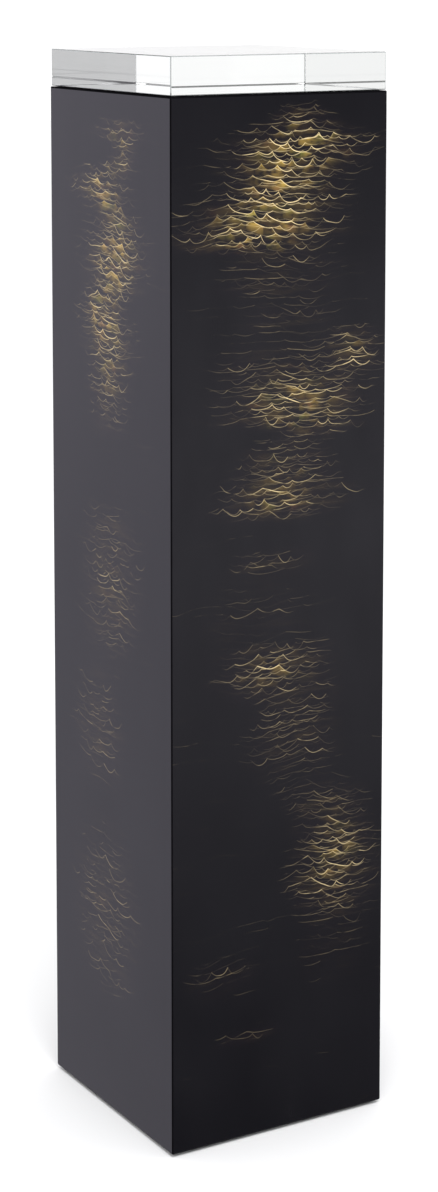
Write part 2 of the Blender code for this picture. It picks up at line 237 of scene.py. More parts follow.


# ---------------------------------------------------------------------------------------------
# The lacquered panels.
# ---------------------------------------------------------------------------------------------

# Columns of gold down each face. A column is a list of heights from the top down,
# each with the column's middle, its half width and how strongly the gold gathers there, from 0 to
# 1. Lengths are in millimetres, from the floor and from the face's middle line.
GOLD_COLUMNS = {
    "front": [
        [
            (1052, 24, 12, 0.00), (1034, 24, 32, 0.50), (1008, 24, 86, 0.92),
            (988, 10, 76, 0.90), (966, 4, 68, 0.90), (944, -12, 84, 0.95),
            (924, -24, 96, 1.00), (908, -34, 84, 0.70), (898, 4, 46, 0.20),
            (890, 6, 60, 0.28), (880, 0, 60, 0.16), (868, -6, 64, 0.26),
            (852, 4, 50, 0.12), (838, 14, 44, 0.24), (820, 10, 60, 0.10),
            (796, 6, 76, 0.20), (774, 24, 78, 0.38), (752, 14, 84, 0.84),
            (734, 16, 80, 0.74), (720, 52, 44, 0.36), (712, 14, 44, 0.18),
            (696, 4, 48, 0.36), (672, 4, 64, 0.50), (648, 0, 80, 0.66),
            (634, 0, 56, 0.15),
        ],
        [
            (614, -9, 30, 0.00), (594, -9, 46, 0.24), (572, -20, 46, 0.10),
            (536, -30, 56, 0.18), (512, -10, 60, 0.10), (494, -2, 58, 0.50),
            (476, -10, 64, 0.60), (456, 8, 56, 0.24), (442, 20, 46, 0.22),
            (420, 14, 48, 0.28), (394, 14, 50, 0.26), (366, 26, 44, 0.12),
            (346, 50, 44, 0.22), (322, 62, 42, 0.44), (288, 68, 46, 0.72),
            (252, 62, 54, 0.54), (226, 68, 40, 0.28), (206, 68, 36, 0.14),
            (182, 66, 40, 0.14), (150, 64, 34, 0.10), (134, 60, 30, 0.00),
        ],
        [
            (826, 84, 20, 0.00), (812, 84, 32, 0.62), (788, 82, 38, 0.72),
            (770, 84, 40, 0.00), (200, -68, 20, 0.00), (176, -66, 38, 0.22),
            (156, -68, 30, 0.10), (118, -30, 20, 0.00), (110, -30, 34, 0.26),
            (104, -46, 32, 0.22), (96, -46, 20, 0.00),
        ],
    ],
    "left": [
        [
            (1034, 24, 20, 0.00), (1018, 22, 56, 0.60), (1004, 32, 26, 0.55),
            (988, 32, 26, 0.60), (974, -10, 50, 0.60), (958, -22, 66, 0.85),
            (944, -4, 56, 0.80), (930, 18, 50, 0.80), (908, 16, 66, 0.85),
            (886, 10, 70, 1.00), (862, 10, 56, 1.00), (846, -14, 46, 1.00),
            (824, -8, 56, 1.00), (806, -2, 62, 0.80), (780, 0, 46, 0.70),
            (750, -2, 40, 0.60), (720, -2, 34, 0.30), (700, 0, 30, 0.00),
            (650, 0, 30, 0.00), (620, 0, 48, 0.26), (580, 4, 60, 0.40),
            (540, 4, 58, 0.44), (500, -4, 46, 0.24), (478, -10, 40, 0.12),
            (446, -26, 38, 0.20), (402, -28, 50, 0.36), (366, -24, 42, 0.26),
            (340, -20, 40, 0.10),
        ],
        [
            (312, -16, 40, 0.10), (280, -14, 50, 0.18), (230, -12, 64, 0.32),
            (180, -12, 60, 0.30), (130, -10, 50, 0.14), (100, -6, 30, 0.00),
        ],
    ],
    "back": [
        [
            (1044, -18, 20, 0.00), (1020, -18, 74, 0.70), (996, -30, 80, 0.90),
            (968, -44, 66, 0.95), (944, -8, 84, 0.85), (922, 20, 70, 0.75),
            (896, 34, 40, 0.15), (868, 40, 48, 0.50), (848, 10, 40, 0.15),
            (822, -10, 80, 0.90), (796, -16, 88, 1.00), (772, 26, 70, 0.85),
            (744, 38, 56, 0.60), (720, 10, 30, 0.10), (690, -38, 50, 0.60),
            (660, -42, 66, 0.75), (630, -30, 40, 0.15), (590, 8, 56, 0.65),
            (556, 12, 74, 0.85), (522, 10, 44, 0.20),
        ],
        [
            (490, -20, 50, 0.30), (466, -22, 80, 0.95), (440, -26, 88, 0.90),
            (414, 20, 50, 0.45), (384, 42, 58, 0.70), (350, 20, 30, 0.10),
            (310, -50, 56, 0.75), (270, -54, 62, 0.90), (232, -46, 50, 0.40),
            (200, 0, 40, 0.15), (174, 20, 60, 0.55), (146, 20, 40, 0.15),
            (120, 14, 30, 0.00),
        ],
    ],
    "right": [
        [
            (1040, -24, 20, 0.00), (1016, -22, 62, 0.75), (992, 0, 66, 0.80),
            (968, 12, 76, 0.95), (938, 24, 60, 0.70), (908, 36, 58, 0.85),
            (880, 10, 40, 0.30), (848, -8, 48, 0.60), (816, -10, 36, 0.15),
            (780, -30, 60, 0.70), (742, -32, 76, 0.95), (704, -10, 50, 0.40),
            (664, 22, 68, 0.65), (630, 10, 36, 0.10), (588, -6, 54, 0.60),
            (548, -8, 66, 0.85), (506, 4, 50, 0.40),
        ],
        [
            (476, 20, 40, 0.10), (438, 34, 68, 0.80), (402, 20, 44, 0.30),
            (366, -22, 44, 0.30), (330, -28, 56, 0.55), (294, -10, 40, 0.20),
            (246, 4, 66, 0.75), (204, 10, 76, 0.85), (160, 6, 56, 0.50),
            (124, 4, 30, 0.00),
        ],
    ],
}
COLUMN_REACH = 0.25  # a column's middle and half width are held as parts of this length
COLUMN_END = 0.01  # over which a column fades out at its ends, as a part of the body's height
SOFT_EDGE = 0.34  # how strong the strokes must be to show in full

# How thickly each face is gilded; the left face's lower value also paints shade there, its gold
# dimmed as though less lit.
FACE_GILDING_AND_SHADE = {"front": 1.0, "left": 0.80, "back": 0.95, "right": 0.90}

# Layers of ripples, from the top down: the main waves, small ones between them, and long wisps
# that reach furthest out. Each has its cell width and row spacing in millimetres, how far a cell
# sags as a part of the row spacing, its line's half width in millimetres, how bright its lines and
# the gold under them are, and how strong the strokes must be before it shows.
RIPPLE_LAYERS = [
    (24.0, 11.5, 0.62, 0.33, 1.10, 1.00, 0.10),
    (16.0, 7.5, 0.58, 0.29, 0.85, 0.75, 0.44),
    (36.0, 8.5, 0.34, 0.30, 0.46, 0.20, -0.12),
]


def gold_group(face):
    """A node group that says, at (across, up, 0) on a face, where strokes lie and how bright."""
    group = bpy.data.node_groups.new(f"gold_on_{face}", "ShaderNodeTree")
    group.interface.new_socket("Place", in_out="INPUT", socket_type="NodeSocketVector")
    group.interface.new_socket("Strokes", in_out="OUTPUT", socket_type="NodeSocketFloat")
    group.interface.new_socket("Brightness", in_out="OUTPUT", socket_type="NodeSocketFloat")
    entry = group.nodes.new("NodeGroupInput")
    leave = group.nodes.new("NodeGroupOutput")
    split = group.nodes.new("ShaderNodeSeparateXYZ")
    group.links.new(entry.outputs[0], split.inputs[0])
    across, up = Field(group, split.outputs[0]), Field(group, split.outputs[1])
    strokes, brightness = None, None
    for column in GOLD_COLUMNS[face]:
        stops = []
        for height, middle, half_width, strength in reversed(column):
            colour = (
                0.5 + middle * MILLIMETRE / COLUMN_REACH,
                half_width * MILLIMETRE / COLUMN_REACH,
                strength,
            )
            stops.append((height * MILLIMETRE / BODY_TOP, colour))
        first, last = stops[0], stops[-1]
        stops.insert(0, (max(first[0] - COLUMN_END, 0.0), (first[1][0], first[1][1], 0.0)))
        stops.append((min(last[0] + COLUMN_END, 1.0), (last[1][0], last[1][1], 0.0)))
        shape = group.nodes.new("ShaderNodeSeparateColor")
        group.links.new(ramp(group, up / BODY_TOP, stops), shape.inputs[0])
        middle, half_width, strength = [Field(group, shape.outputs[i]) for i in range(3)]
        distance = ((across / COLUMN_REACH + 0.5) - middle).size() / half_width
        here = distance.step(1.45, 0.55) * strength.step(0.0, SOFT_EDGE)
        bright = (distance.step(1.05, 0.05) * 0.86 + 0.14) * strength
        strokes = here if strokes is None else strokes.most(here)
        brightness = bright if brightness is None else brightness.most(bright)
    group.links.new(strokes.socket, leave.inputs[0])
    group.links.new(brightness.socket, leave.inputs[1])
    return group


def gold_at(tree, group, across, up):
    """How much of the face is stroked with gold at a place, and how brightly, from 0 to 1."""
    node = tree.nodes.new("ShaderNodeGroup")
    node.node_tree = group
    put(tree, combine(tree, across, up), node.inputs[0])
    return Field(tree, node.outputs[0]), Field(tree, node.outputs[1])


def ripple_layer(tree, across, up, group, seed, layer):
    """One layer of rows of sagging lines. Returns the lines, the gold under them and the dark
    pockets in their sags, each from 0 to 1. The odd factors on seed and row keep noises apart."""
    cell_width, spacing, sag_part, half_line, line_light, fill_light, threshold = layer
    spacing_m = spacing * MILLIMETRE
    cell_m = cell_width * MILLIMETRE

    # Rows drift up and down together along the face, and each row is its own brush stroke.
    drift = noise(tree, combine(tree, across, seed * 3.7, up * 0.35), 17.0, detail=0.0)
    drift = (drift - 0.5) * (spacing_m * 2.6)
    height = up + drift + across * (0.05 - 0.03 * (seed % 3))
    rows = height / spacing_m
    row = rows.floor()
    within = rows.fraction()
    row_shift, row_stretch, row_force = chance(tree, row, seed * 1.0)
    row_up = (row + 0.5) * spacing_m - drift

    strokes, brightness = gold_at(tree, group, across, row_up)
    raggedness = noise(tree, combine(tree, across, row * 0.37, seed * 1.9), 26.0, detail=2.0)
    shown = strokes - threshold - row_force * 0.34 - (raggedness - 0.5) * 0.70
    seen = shown.step(0.0, SOFT_EDGE)
    shine = (brightness * 1.15).clamp()

    # Cells along the row, of uneven width and depth, that meet in upward cusps.
    wander = noise(tree, combine(tree, across, row * 0.61, seed * 5.3), 42.0, detail=0.0)
    along = across + (wander - 0.5) * (cell_m * 1.1)
    cells = along / cell_m * (row_stretch * 0.45 + 0.8) + row_shift * 9.0
    cell = cells.floor()
    from_middle = ((cells.fraction() - 0.5) * 2.0).size()
    depth_luck, light_luck, _ = chance(tree, cell, row + seed * 101.0)
    fill_luck, _, _ = chance(tree, (cells + 0.5).floor(), row + seed * 57.0)
    depth = (depth_luck * 0.75 + 0.25) * sag_part * (seen * 0.75 + 0.25)
    rise = from_middle ** 2.2
    line_at = 0.96 - depth * (1.0 - rise)
    below = (line_at - within) * spacing_m
    slope = depth * (from_middle ** 1.2) * (2.2 * 2.0 * spacing_m / cell_m)
    across_line = below.size() / (slope * slope + 1.0).root()

    # Few lines are bright where the strokes are sparse, and most in the middle of a cluster.
    breaks = noise(tree, combine(tree, across, row * 0.83, seed * 2.1), 85.0, detail=1.0)
    crowd = shine.step(0.35, 0.95)
    sparse_ink = light_luck ** 2.6 * 0.95 + 0.08
    crowded_ink = light_luck * 0.50 + 0.50
    ink = breaks.step(0.22, 0.60) * (sparse_ink * (1.0 - crowd) + crowded_ink * crowd)
    ink = ink * (1.0 - row_force * 0.4)
    half_line_m = half_line * MILLIMETRE
    line = across_line.step(half_line_m * 1.7, half_line_m * 0.25) * ink * seen
    line = line * (shine * 1.05 + 0.14) * line_light

    # Gold laid under some of the crests, fading downwards, and the dark pocket in each sag.
    fade = (shine * 0.28 + 0.28) * spacing_m
    under = (below.most(0.0) / fade * -1.0).math("EXPONENT") * below.step(-0.0002, 0.0002)
    crest = from_middle * (0.90 - shine * 0.25) + shine * 0.25 + 0.02
    dust = noise(tree, combine(tree, across, up * 2.2, seed * 7.7), 60.0, detail=2.0)
    laid = fill_luck.step(0.25, 0.90) * 1.0 + 0.05
    heaped = shine ** 2.8 * seen * 0.92
    fill = under * crest * dust.step(0.30, 0.62) * laid * heaped * fill_light
    pocket = below.step(0.0, -0.0006) * within.step(1.0, 0.90) * seen
    return line, fill.clamp(), pocket


def lacquer(face, lie, seed):
    """Black lacquer with gold ripples. lie gives the length along the face from x and y."""
    material, tree, shader = new_material(f"lacquer_{face}", roughness=0.3, specular=0.5)
    shader.inputs["Specular Tint"].default_value = (0.93, 0.90, 1.0, 1.0)
    x, y, z = place_on_object(tree)
    place = combine(tree, x, y, z)
    across = lie(x, y)

    group = gold_group(face)
    lines, fills = None, None
    for order, layer in enumerate(reversed(RIPPLE_LAYERS)):
        line, fill, pocket = ripple_layer(tree, across, z, group, seed * 10 + order, layer)
        if lines is None:
            lines, fills = line, fill
            continue
        left_over = 1.0 - pocket * 0.85
        lines = (lines * (1.0 - pocket * 0.5)).most(line)
        fills = (fills * left_over).most(fill)

    # Long faint streaks of fine gold dust around the strokes.
    strokes, brightness = gold_at(tree, group, across, z)
    streaks = noise(tree, combine(tree, across, z * 6.0, seed * 1.0), 20.0, detail=2.0)
    haze = strokes * streaks.step(0.46, 0.80) * (brightness * 0.060 + 0.008)
    # On the left face this also dims the gold as painted shade.
    force = FACE_GILDING_AND_SHADE[face]
    lines = lines * force
    fills = fills * force

    # Colours: old gold with green and copper tints under the strokes, pale gold on their lines.
    tint = noise(tree, combine(tree, across, z * 1.5, seed * 4.0), 35.0, detail=2.0)
    leaf = ramp(tree, tint, [
        (0.28, (0.38, 0.36, 0.05)),
        (0.45, (0.66, 0.44, 0.07)),
        (0.60, (0.78, 0.49, 0.09)),
        (0.75, (0.72, 0.30, 0.10)),
    ])
    black_luck = noise(tree, place, 9.0, detail=1.0)
    black = ramp(tree, black_luck, [
        (0.3, (0.0030, 0.0028, 0.0046)),
        (0.7, (0.0046, 0.0044, 0.0064)),
    ])
    black = mix_colour(tree, strokes * 0.35, black, (0.0100, 0.0062, 0.0100))
    gold_amount = (fills + haze).clamp()
    dusted = mix_colour(tree, gold_amount, black, leaf)
    painted = mix_colour(tree, lines, dusted, (0.98, 0.77, 0.40))
    put(tree, painted, shader.inputs["Base Color"])

    # Satin gloss, duller on the gold and where the lacquer is rubbed.
    rubbed = noise(tree, combine(tree, x, y, z * 0.3), 30.0, detail=3.0)
    gloss = rubbed * 0.10 + 0.20 + gold_amount * 0.20 + lines * 0.14
    put(tree, gloss, shader.inputs["Roughness"])

    peel = noise(tree, place, 260.0, detail=1.0) * 0.012
    bump(tree, shader, lines * 0.05 + fills * 0.02 + peel, MILLIMETRE)
    return material


def flat_black():
    """Unpolished black primer on the panels' corners, ends and mitres, and painted shade of the gap
    under the block on the deck and the panels' rims.
    """
    material, tree, shader = new_material("black_primer_and_shade", roughness=0.9, specular=0.0)
    place = combine(tree, *place_on_object(tree))
    grain = noise(tree, place, 600.0, detail=2.0)
    colour = ramp(tree, grain, [(0.3, (0.0030, 0.0028, 0.0036)), (0.7, (0.0060, 0.0056, 0.0068))])
    put(tree, colour, shader.inputs["Base Color"])
    put(tree, grain * 0.15 + 0.80, shader.inputs["Roughness"])
    bump(tree, shader, grain, MILLIMETRE * 0.05)
    return material


def paint(node, material):
    for slot in NODES[node].material_slots:
        slot.material = material


def stand_in(mesh, node, body):
    """Adds a mesh as a piece that stands for a CAD node and rides on its body."""
    mesh.shade_smooth()
    mesh.set_sharp_from_angle(angle=SHARP_ANGLE)
    for polygon in mesh.polygons:
        if max(abs(part) for part in polygon.normal) > STRAIGHT:
            polygon.use_smooth = False
    piece = bpy.data.objects.new(mesh.name, mesh)
    bpy.context.scene.collection.objects.link(piece)
    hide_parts(node)
    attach(piece, body)
    return piece


# How each face lies: its outward direction, and the length along it from its middle line, which
# grows to the right for someone who looks at the face.
FACES = {
    "front": ((0, -1), lambda x, y: x * 1.0),
    "right": ((1, 0), lambda x, y: y * 1.0),
    "back": ((0, 1), lambda x, y: x * -1.0),
    "left": ((-1, 0), lambda x, y: y * -1.0),
}


FACING = 0.9  # a mitre's or an end's normal leans less than this along its panel's own
IN_LACQUER, IN_PRIMER_AND_SHADE, IN_BOARD = range(3)  # the panels' material slots


def cut(mesh, places, direction):
    """Cuts a mesh's faces along planes across a direction, and keeps all of them."""
    work = bmesh.new()
    work.from_mesh(mesh)
    for place in places:
        everything = work.verts[:] + work.edges[:] + work.faces[:]
        bmesh.ops.bisect_plane(
            work, geom=everything, dist=0.00001, plane_co=direction * place, plane_no=direction
        )
    work.to_mesh(mesh)
    work.free()


def make_panels(board):
    """The panels: lacquer outside, flat black on their rims, corners, ends and mitres, and raw board
    inside. The rims and the flat black deck between them are painted shade of the gap under the
    block."""
    primer_and_shade = flat_black()
    for seed, (face, (outward, lie)) in enumerate(FACES.items(), start=1):
        node = f"{face}_panel"
        mesh = NODES[node].data.copy()
        mesh.name = f"{face}_board"
        mesh.materials.clear()
        for material in (lacquer(face, lie, seed), primer_and_shade, board):
            mesh.materials.append(material)
        side = Vector((outward[1], -outward[0], 0))
        cut(mesh, [BODY_TOP - SHADE_RIM], Vector((0, 0, 1)))
        cut(mesh, [ARRIS - HALF_WIDTH, HALF_WIDTH - ARRIS], side)
        for polygon in mesh.polygons:
            facing = polygon.normal.x * outward[0] + polygon.normal.y * outward[1]
            # The band along the top, under the block, is flat black as painted shade of the gap
            # there.
            in_shade_rim = polygon.center.z > BODY_TOP - SHADE_RIM
            at_arris = abs(polygon.center.dot(side)) > HALF_WIDTH - ARRIS
            if facing < -FACING:
                polygon.material_index = IN_BOARD
            elif facing < FACING or in_shade_rim or at_arris:
                polygon.material_index = IN_PRIMER_AND_SHADE
            else:
                polygon.material_index = IN_LACQUER
        stand_in(mesh, node, "carcass")
    # Painted shade: the deck is flat black without gloss, so the gap under the block shows dark.
    paint("deck", primer_and_shade)


# ---------------------------------------------------------------------------------------------
# Materials of the other pieces.
# ---------------------------------------------------------------------------------------------


def clear_acrylic():
    """Cast acrylic, tinted very slightly green, with faint patches of haze."""
    material, tree, shader = new_material("acrylic_clear", roughness=0.0)
    shader.inputs["Transmission Weight"].default_value = 1.0
    shader.inputs["IOR"].default_value = ACRYLIC_IOR
    place = combine(tree, *place_on_object(tree))
    tint = ramp(tree, noise(tree, place, 14.0), [
        (0.3, (0.970, 0.985, 0.978)),
        (0.7, (0.985, 0.992, 0.988)),
    ])
    put(tree, tint, shader.inputs["Base Color"])
    haze = noise(tree, place, 55.0, detail=4.0)
    put(tree, haze.step(0.55, 0.85) * 0.006, shader.inputs["Roughness"])
    return material


def scraped_edge_and_shade():
    """The block's thin edges, scraped and buffed, greyer than its faces, and darkened near the
    block's bottom as painted shade.
    """
    material, tree, shader = new_material("acrylic_edge", roughness=0.12)
    shader.inputs["Transmission Weight"].default_value = 0.8
    shader.inputs["IOR"].default_value = ACRYLIC_IOR
    x, y, z = place_on_object(tree)
    marks = noise(tree, combine(tree, x, y, z), 900.0, detail=2.0)
    buffed = ramp(tree, marks, [(0.3, (0.30, 0.33, 0.33)), (0.7, (0.42, 0.45, 0.45))])
    # Painted shade: near black along the block's lowest few millimetres, above the body.
    painted_shade_below = z.step(BODY_TOP + 0.004, BODY_TOP + 0.003) * 0.9
    put(tree, mix_colour(tree, painted_shade_below, buffed, (0.02, 0.02, 0.02)), shader.inputs["Base Color"])
    put(tree, marks * 0.12 + 0.06, shader.inputs["Roughness"])
    return material


def clear_rubber():
    """Soft clear polyurethane, faintly cloudy."""
    material, tree, shader = new_material("rubber_clear", roughness=0.35)
    shader.inputs["Transmission Weight"].default_value = 0.75
    shader.inputs["IOR"].default_value = POLYURETHANE_IOR
    place = combine(tree, *place_on_object(tree))
    cloud = noise(tree, place, 700.0, detail=3.0)
    put(tree, ramp(tree, cloud, [(0.3, (0.80, 0.81, 0.78)), (0.7, (0.90, 0.91, 0.88))]),
        shader.inputs["Base Color"])
    put(tree, cloud * 0.2 + 0.25, shader.inputs["Roughness"])
    bump(tree, shader, cloud, MILLIMETRE * 0.05)
    return material


def fibreboard():
    """Raw MDF: fine pressed fibres in faint clouds."""
    material, tree, shader = new_material("mdf_raw", roughness=0.85, specular=0.25)
    x, y, z = place_on_object(tree)
    fibres = noise(tree, combine(tree, x, y, z * 2.5), 950.0, detail=4.0)
    clouds = noise(tree, combine(tree, x, y, z), 28.0, detail=3.0)
    colour = ramp(tree, fibres * 0.65 + clouds * 0.35, [
        (0.30, (0.20, 0.118, 0.058)),
        (0.50, (0.30, 0.185, 0.098)),
        (0.70, (0.41, 0.270, 0.155)),
    ])
    put(tree, colour, shader.inputs["Base Color"])
    put(tree, fibres * 0.2 + 0.72, shader.inputs["Roughness"])
    bump(tree, shader, fibres, MILLIMETRE * 0.12)
    return material


def long_grained(name, stops, ring_scale, shine):
    """Wood whose grain runs up the plinth: rings stretched along z, pores and fibres."""
    material, tree, shader = new_material(name, roughness=shine, specular=0.35)
    x, y, z = place_on_object(tree)
    bend = noise(tree, combine(tree, x, y, z * 0.12), 24.0, detail=2.0)
    rings = noise(tree, combine(tree, x, y * 1.4, z * 0.03), ring_scale) * 9.0 + bend * 1.5
    ring = (rings.fraction() - 0.5).size() * 2.0
    pores = noise(tree, combine(tree, x, y, z * 0.04), 2400.0, detail=3.0)
    put(tree, ramp(tree, ring * 0.7 + pores * 0.3, stops), shader.inputs["Base Color"])
    put(tree, pores * 0.2 + (shine - 0.1), shader.inputs["Roughness"])
    bump(tree, shader, ring * 0.4 + pores, MILLIMETRE * 0.08)
    return material


def zinc_plated():
    """Bright zinc on steel: fine turning marks and dull patches."""
    material, tree, shader = new_material("zinc_bright", metallic=1.0, roughness=0.3)
    x, y, z = place_on_object(tree)
    place = combine(tree, x, y, z)
    patches = noise(tree, place, 420.0, detail=4.0)
    turning = noise(tree, combine(tree, x * 0.2, y * 0.2, z * 6.0), 1500.0)
    put(tree, ramp(tree, patches, [
        (0.30, (0.50, 0.49, 0.46)),
        (0.55, (0.66, 0.66, 0.64)),
        (0.75, (0.74, 0.74, 0.75)),
    ]), shader.inputs["Base Color"])
    put(tree, patches * 0.25 + turning * 0.12 + 0.14, shader.inputs["Roughness"])
    bump(tree, shader, turning, MILLIMETRE * 0.02)
    return material


def moulded_nylon():
    """Black nylon with a spark-eroded texture, greyed where it touches the floor."""
    scuff_height = 0.0016
    material, tree, shader = new_material("nylon_black", roughness=0.55)
    x, y, z = place_on_object(tree)
    place = combine(tree, x, y, z)
    texture = noise(tree, place, 1400.0, detail=3.0)
    scuffed = z.step(scuff_height, 0.0) * noise(tree, place, 300.0, detail=3.0).step(0.4, 0.7)
    put(tree, mix_colour(tree, scuffed, (0.018, 0.018, 0.019), (0.075, 0.074, 0.072)),
        shader.inputs["Base Color"])
    put(tree, texture * 0.2 + 0.42 + scuffed * 0.15, shader.inputs["Roughness"])
    bump(tree, shader, texture, MILLIMETRE * 0.06)
    return material


# ---------------------------------------------------------------------------------------------
# Pieces made in finer detail than the CAD solids they stand for.
# ---------------------------------------------------------------------------------------------


def add_piece(name, mesh_data, material, node, body):
    """Turns a bmesh into a piece that stands for a CAD node and rides on its body."""
    mesh = bpy.data.meshes.new(name)
    bmesh.ops.recalc_face_normals(mesh_data, faces=mesh_data.faces)
    mesh_data.to_mesh(mesh)
    mesh_data.free()
    mesh.materials.append(material)
    return stand_in(mesh, node, body)


def sleeve(mesh_data, centre, rows, segments):
    """A closed surface of rows round a vertical axis. Each row is (height, reach), where reach
    is a radius or a function of the angle."""
    loops = []
    for height, reach in rows:
        loop = []
        for step in range(segments):
            angle = 2.0 * math.pi * step / segments
            radius = reach(angle) if callable(reach) else reach
            place = (
                centre[0] + radius * math.cos(angle),
                centre[1] + radius * math.sin(angle),
                centre[2] + height,
            )
            loop.append(mesh_data.verts.new(place))
        loops.append(loop)
    for lower, upper in zip(loops, loops[1:]):
        for step in range(segments):
            after = (step + 1) % segments
            mesh_data.faces.new((lower[step], lower[after], upper[after], upper[step]))
    mesh_data.faces.new(list(reversed(loops[0])))
    mesh_data.faces.new(loops[-1])


def ring_turned(mesh_data, centre, profile, segments):
    """A ring: a closed profile of (radius, height) points turned round a vertical axis."""
    loops = []
    for step in range(segments):
        angle = 2.0 * math.pi * step / segments
        loop = []
        for radius, height in profile:
            place = (
                centre[0] + radius * math.cos(angle),
                centre[1] + radius * math.sin(angle),
                centre[2] + height,
            )
            loop.append(mesh_data.verts.new(place))
        loops.append(loop)
    for step, loop in enumerate(loops):
        after = loops[(step + 1) % segments]
        for point in range(len(profile)):
            following = (point + 1) % len(profile)
            mesh_data.faces.new((loop[point], after[point], after[following], loop[following]))


ROWS_PER_TURN = 8  # of a thread


def thread_rows(bottom, top, crest, depth, pitch, taper):
    """Rows of a right-hand thread, which runs out over the taper at both ends."""
    count = max(2, round((top - bottom) / pitch * ROWS_PER_TURN))
    rows = []
    for step in range(count + 1):
        height = bottom + (top - bottom) * step / count
        from_end = min(height - bottom, top - height)
        strength = min(1.0, max(0.0, from_end / taper))

        def reach(angle, height=height, strength=strength):
            turn = (height / pitch - angle / (2.0 * math.pi)) % 1.0
            valley = 1.0 - abs(2.0 * turn - 1.0)
            return crest - depth * min(1.0, 1.25 * valley) * strength

        rows.append((height, reach))
    return rows


def hexagon(flat_radius, corner_radius):
    """The reach of a hexagonal collar whose corners are turned off at corner_radius."""

    def reach(angle):
        within = (angle + math.pi / 6.0) % (math.pi / 3.0) - math.pi / 6.0
        return min(flat_radius / math.cos(within), corner_radius)

    return reach


def middle_of(node):
    """The middle of a CAD node's lower end."""
    low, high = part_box(node)
    return (0.5 * (low[0] + high[0]), 0.5 * (low[1] + high[1]), low[2])


def make_block():
    """The clear block, with small scraped edges."""
    low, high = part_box("acrylic_block")
    edge = 0.0009
    block = bmesh.new()
    bmesh.ops.create_cube(block, size=1.0)
    for vertex in block.verts:
        for axis in range(3):
            middle = 0.5 * (low[axis] + high[axis])
            vertex.co[axis] = middle + vertex.co[axis] * (high[axis] - low[axis])
    bmesh.ops.bevel(block, geom=list(block.edges), offset=edge, segments=4, profile=0.5,
                    affect="EDGES", clamp_overlap=True)
    piece = add_piece("clear_block", block, clear_acrylic(), "acrylic_block", "acrylic_block")
    piece.data.materials.append(scraped_edge_and_shade())
    for face in piece.data.polygons:
        face.material_index = int(face.use_smooth)


def make_bumpers():
    """Domed clear bumpers, slightly flattened by the block."""
    material = clear_rubber()
    steps = 8
    lip, dome_foot = 0.0002, 0.0003
    for corner in CORNERS:
        low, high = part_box(f"bumper_{corner}")
        radius, height = 0.5 * (high[0] - low[0]), high[2] - low[2]
        flat = radius * 0.72
        rows = [(0.0, radius - lip), (lip, radius)]
        for step in range(1, steps + 1):
            angle = 0.5 * math.pi * step / steps
            reach = flat + (radius - flat) * math.cos(angle)
            rows.append((dome_foot + (height - dome_foot) * math.sin(angle), reach))
        bumper = bmesh.new()
        sleeve(bumper, middle_of(f"bumper_{corner}"), rows, 48)
        add_piece(f"domed_bumper_{corner}", bumper, material, f"bumper_{corner}", "carcass")


def make_stems(material):
    """Levelling stems: foot ball, hexagonal collar with turned corners and an M8 thread."""
    pitch = 0.00125
    crest = 0.0039
    foot_radius = 0.0043
    flat_radius = 0.0065
    corner_radius = 0.0073
    collar_low, collar_high = 0.0088, 0.0133
    turned_off = 0.0006
    for corner in CORNERS:
        node = f"foot_stem_{corner}"
        low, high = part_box(node)
        centre = (*middle_of(node)[:2], 0.0)
        rows = []
        rows += [(low[2], 0.0036), (low[2] + 0.0004, 0.0041), (low[2] + 0.0010, foot_radius)]
        rows += [(collar_low - 0.0024, foot_radius), (collar_low - 0.0019, 0.0037)]
        rows += [(collar_low - 0.0002, 0.0037), (collar_low, 0.0040)]
        rows += [(collar_low, hexagon(flat_radius, flat_radius - 0.0001))]
        rows += [(collar_low + turned_off, hexagon(flat_radius, corner_radius))]
        rows += [(collar_high - turned_off, hexagon(flat_radius, corner_radius))]
        rows += [(collar_high, hexagon(flat_radius, flat_radius - 0.0001))]
        rows += [(collar_high, 0.0042), (collar_high + 0.0003, 0.0035)]
        rows += thread_rows(collar_high + 0.0004, high[2] - 0.0012, crest, 0.0006, pitch, 0.0012)
        rows += [(high[2] - 0.0008, 0.0036), (high[2], 0.0030)]
        stem = bmesh.new()
        sleeve(stem, centre, rows, 48)
        add_piece(f"threaded_stem_{corner}", stem, material, node, node)


def make_pads():
    """Foot pads: a skirt with grip ribs, a rounded shoulder and a socket for the stem."""
    material = moulded_nylon()
    ribs = 40
    rib_low, rib_high = 0.0008, 0.0032
    groove_depth = 0.00028
    for corner in CORNERS:
        node = f"foot_pad_{corner}"
        low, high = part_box(node)
        radius = 0.5 * (high[0] - low[0])
        profile = [(0.0012, 0.0), (radius - 0.0008, 0.0), (radius - 0.0002, 0.0003)]
        profile += [(radius, 0.0009), (radius, 0.0030), (radius - 0.0004, 0.0034)]
        for step in range(1, 7):
            part = step / 6.0
            profile.append((radius - 0.0004 - 0.0064 * part, 0.0034 + 0.0040 * math.sin(part * 1.5)))
        profile += [(0.0086, 0.0078), (0.0080, 0.0080), (0.0052, 0.0080), (0.0046, 0.0077)]
        profile += [(0.0045, 0.0070), (0.0053, 0.0064), (0.0053, 0.0030), (0.0050, 0.0027)]
        profile += [(0.0012, 0.0027)]
        pad = bmesh.new()
        ring_turned(pad, (*middle_of(node)[:2], 0.0), profile, ribs * 4)
        centre = Vector(middle_of(node))
        for vertex in pad.verts:
            out = Vector((vertex.co.x - centre.x, vertex.co.y - centre.y))
            if out.length > radius - 0.0003 and rib_low < vertex.co.z < rib_high:
                angle = math.atan2(out.y, out.x)
                groove = groove_depth * (0.5 - 0.5 * math.cos(angle * ribs))
                scale = 1.0 - groove / out.length
                vertex.co.x = centre.x + out.x * scale
                vertex.co.y = centre.y + out.y * scale
        add_piece(f"ribbed_pad_{corner}", pad, material, node, node)


